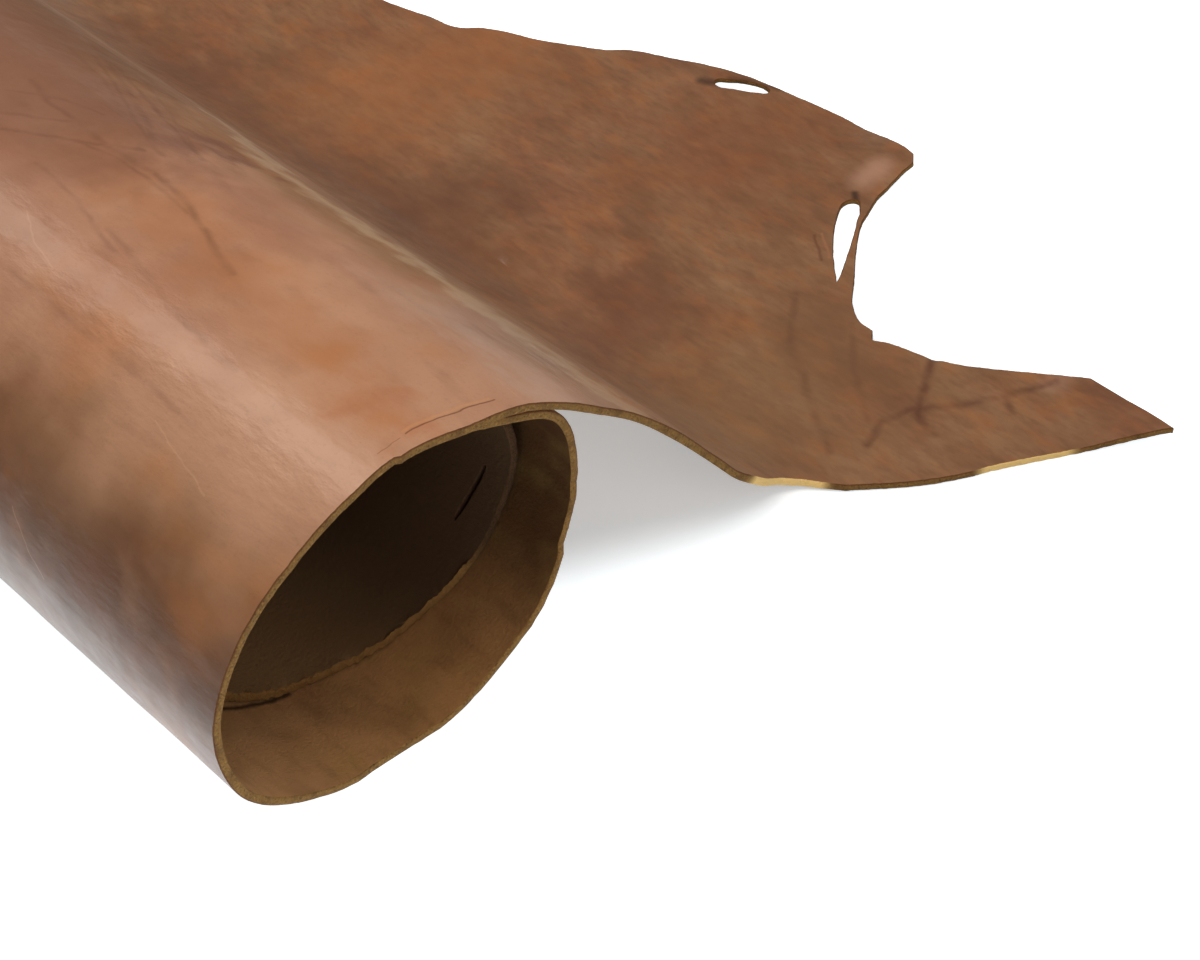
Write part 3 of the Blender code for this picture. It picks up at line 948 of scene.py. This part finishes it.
# Soft lights: place, aim and size in metres.  The strip's watts are a setting.
Softbox = namedtuple("Softbox", "name spot aim width height watts colour")
STRIP = Softbox("strip_softbox", (0.03, 0.35, 1.1), (0.03, 0.2, 0.1), 0.35, 1.3, None, "#fff2e2")
OVERHEAD = Softbox("overhead_softbox", (0.15, -0.5, 2.5), (0.05, 0, 0), 1.6, 1.8, 26.0, "#fff3e6")
FRONT_FILL = Softbox("front_fill", (-0.3, -2.3, 1.5), (0.1, 0, 0), 1.6, 1.6, 9.0, "#ffffff")

# The floor's paper glows as if lit from below, which is painted light.  The leather sees the glow
# only close by on the closed side of the roll.  The eye sees it white, with a painted shadow
# beneath the fall.  Places are in metres.
Fade = namedtuple("Fade", "name start end low high")
LIT_NEAR = Fade("away from the closed side, on X", -0.42, -0.14, 0.08, 0.90)
LIT_CLOSED = Fade("towards the open end, on X", 0.0, 0.3, 1.0, 0.04)
SHADOW_FRONT = Fade("front of the shadow, on its slant", -0.365, -0.30, 0.0, 1.0)
SHADOW_ROLL = Fade("roll's side of the shadow, on X", 0.07, 0.14, 0.0, 1.0)
SHADOW_OPEN = Fade("open side of the shadow, on X", 0.50, 0.34, 0.0, 1.0)
SHADOW_FAR = Fade("far side of the shadow, on Y", -0.12, -0.28, 0.0, 1.0)
SHADOW_SLANT = 0.45
WHITE_GLOW = 1.0
SHADOW_GLOW = 0.38


def new_light(box):
    data = bpy.data.lights.new(box.name, "AREA")
    data.shape = "RECTANGLE"
    data.size = box.width
    data.size_y = box.height
    data.energy = box.watts
    data.color = linear(box.colour)[:3]
    lamp = bpy.data.objects.new(box.name, data)
    bpy.context.collection.objects.link(lamp)
    lamp.location = box.spot
    aim = Vector(box.aim) - Vector(box.spot)
    lamp.rotation_euler = aim.to_track_quat("-Z", "Y").to_euler()


def fade_product(tree, faded, interpolation):
    """Product of several fades, each of its own value."""
    whole = 1.0
    for value, fade in faded:
        share = add(tree, "ShaderNodeMapRange", {
            "Value": value, "From Min": fade.start, "From Max": fade.end,
            "To Min": fade.low, "To Max": fade.high,
        }, interpolation_type=interpolation).outputs[0]
        whole = add(tree, "ShaderNodeMath", {0: whole, 1: share}, operation="MULTIPLY").outputs[0]
    return whole


def make_paper():
    """Matt white paper, glowing with painted light as if lit from below so that it stays white around the
    leather, with a painted shadow beneath the fall.
    """
    material, tree, shader = new_material("matt_white_paper")
    shader.inputs["Base Color"].default_value = linear("#e9f1fa")
    shader.inputs["Roughness"].default_value = 0.9
    shader.inputs["Specular IOR Level"].default_value = 0.2
    shader.inputs["Emission Color"].default_value = linear("#eff8fd")
    spot = add(tree, "ShaderNodeTexCoord").outputs["Object"]
    spot = add(tree, "ShaderNodeSeparateXYZ", {"Vector": spot})
    floor_x, floor_y = spot.outputs["X"], spot.outputs["Y"]
    slant = add(tree, "ShaderNodeMath", {
        0: floor_x, 1: SHADOW_SLANT, 2: floor_y}, operation="MULTIPLY_ADD").outputs[0]
    lit = fade_product(tree, ((floor_x, LIT_NEAR), (floor_x, LIT_CLOSED)), "LINEAR")
    beneath = fade_product(tree, (
        (slant, SHADOW_FRONT), (floor_x, SHADOW_ROLL), (floor_x, SHADOW_OPEN), (floor_y, SHADOW_FAR),
    ), "SMOOTHSTEP")
    white = add(tree, "ShaderNodeMix", {
        0: beneath, 2: WHITE_GLOW, 3: SHADOW_GLOW}, data_type="FLOAT").outputs[0]
    seen = add(tree, "ShaderNodeLightPath").outputs["Is Camera Ray"]
    glow = add(tree, "ShaderNodeMix", {0: seen, 2: lit, 3: white}, data_type="FLOAT").outputs[0]
    tree.links.new(glow, shader.inputs["Emission Strength"])
    return material


def make_stage(settings):
    """White floor, soft lights and the camera."""
    scene = bpy.context.scene
    floor_shape = bmesh.new()
    bmesh.ops.create_grid(floor_shape, x_segments=1, y_segments=1, size=FLOOR_SIZE)
    mesh = bpy.data.meshes.new("studio_floor")
    floor_shape.to_mesh(mesh)
    floor_shape.free()
    floor = bpy.data.objects.new("studio_floor", mesh)
    bpy.context.collection.objects.link(floor)
    floor.data.materials.append(make_paper())

    world = bpy.data.worlds.new("studio_air")
    world.use_nodes = True
    background = world.node_tree.nodes["Background"]
    background.inputs["Color"].default_value = linear("#f2eee6")
    background.inputs["Strength"].default_value = 0.22
    scene.world = world

    for box in (STRIP._replace(watts=settings.key_watts), OVERHEAD, FRONT_FILL):
        new_light(box)

    lens = bpy.data.cameras.new("studio_camera")
    lens.lens = LENS
    lens.sensor_width = SENSOR_WIDTH
    lens.clip_start = 0.01
    camera = bpy.data.objects.new("studio_camera", lens)
    bpy.context.collection.objects.link(camera)
    camera.location = VIEW_FROM
    down, turn = (math.radians(angle) for angle in VIEW_ANGLES)
    camera.rotation_euler = (math.pi / 2 - down, 0, -turn)
    scene.camera = camera
    scene.view_settings.view_transform = "Standard"


# ---- Settings, operators and panel ----

class LeatherSideSettings(bpy.types.PropertyGroup):
    grain_colour: FloatVectorProperty(
        name="Grain", description="Ground colour of the dyed grain", subtype="COLOR", size=4,
        default=linear("#98704f"), min=0.0, max=1.0,
    )
    # Paler colour over the roll's top: partly pull-up paling, partly painted light and highlight.
    pulled_and_lit_colour: FloatVectorProperty(
        name="Stretched and lit grain", description="Colour of the grain where it is stretched over the roll",
        subtype="COLOR", size=4, default=linear("#bf9073"), min=0.0, max=1.0,
    )
    flesh_colour: FloatVectorProperty(
        name="Flesh", description="Ground colour of the flesh side", subtype="COLOR", size=4,
        default=linear("#a87a4d"), min=0.0, max=1.0,
    )
    edge_colour: FloatVectorProperty(
        name="Cut edge", description="Colour of the leather's core, seen in its cut edge",
        subtype="COLOR", size=4, default=linear("#8e6a38"), min=0.0, max=1.0,
    )
    pore_spacing: FloatProperty(
        name="Pore spacing", description="Distance between hair pores, in millimetres",
        default=1.3, min=0.3,
    )
    crease_depth: FloatProperty(
        name="Wrinkle depth", description="Depth of a growth wrinkle of amount 1, in millimetres",
        default=0.6, min=0.0, max=2.0,
    )
    raggedness: FloatProperty(
        name="Raggedness", description="Wander of the cut edge, in millimetres",
        default=1.1, min=0.0, max=4.0,
    )
    fuzz: FloatProperty(
        name="Fuzz", description="Reach of the loose fibres on the second turn's edge, in millimetres",
        default=1.3, min=0.0, max=3.0,
    )
    key_watts: FloatProperty(
        name="Key light", description="Power of the strip softbox", default=5.0, min=0.0, unit="POWER",
    )


class LEATHER_OT_rolled_hide(bpy.types.Operator):
    """Cut the side flat, roll it up and finish its grain, flesh and edges"""

    bl_idname = "leather.rolled_hide"
    bl_label = "Rolled Hide"

    def execute(self, context):
        settings = context.scene.leather_side
        hide = make_rolled_hide(settings)
        for make in (make_grain, make_flesh, make_edge):
            hide.data.materials.append(make(settings))
        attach(hide, "root")
        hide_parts(NODE)
        return {"FINISHED"}


class LEATHER_OT_stage(bpy.types.Operator):
    """Lay the studio floor and set the lights and the camera"""

    bl_idname = "leather.stage"
    bl_label = "Studio Stage"

    def execute(self, context):
        make_stage(context.scene.leather_side)
        return {"FINISHED"}


class LEATHER_PT_panel(bpy.types.Panel):
    bl_label = "Leather Side"
    bl_space_type = "VIEW_3D"
    bl_region_type = "UI"
    bl_category = "Leather"

    def draw(self, context):
        for name in LeatherSideSettings.__annotations__:
            self.layout.prop(context.scene.leather_side, name)
        for operator in OPERATORS:
            self.layout.operator(operator.bl_idname)


OPERATORS = (LEATHER_OT_rolled_hide, LEATHER_OT_stage)
CLASSES = (LeatherSideSettings, *OPERATORS, LEATHER_PT_panel)


def register():
    for item in CLASSES:
        bpy.utils.register_class(item)
    bpy.types.Scene.leather_side = PointerProperty(type=LeatherSideSettings)


def unregister():
    del bpy.types.Scene.leather_side
    for item in reversed(CLASSES):
        bpy.utils.unregister_class(item)


def main():
    register()
    for operator in OPERATORS:
        group, name = operator.bl_idname.split(".")
        getattr(getattr(bpy.ops, group), name)()


if __name__ == "__main__":
    main()
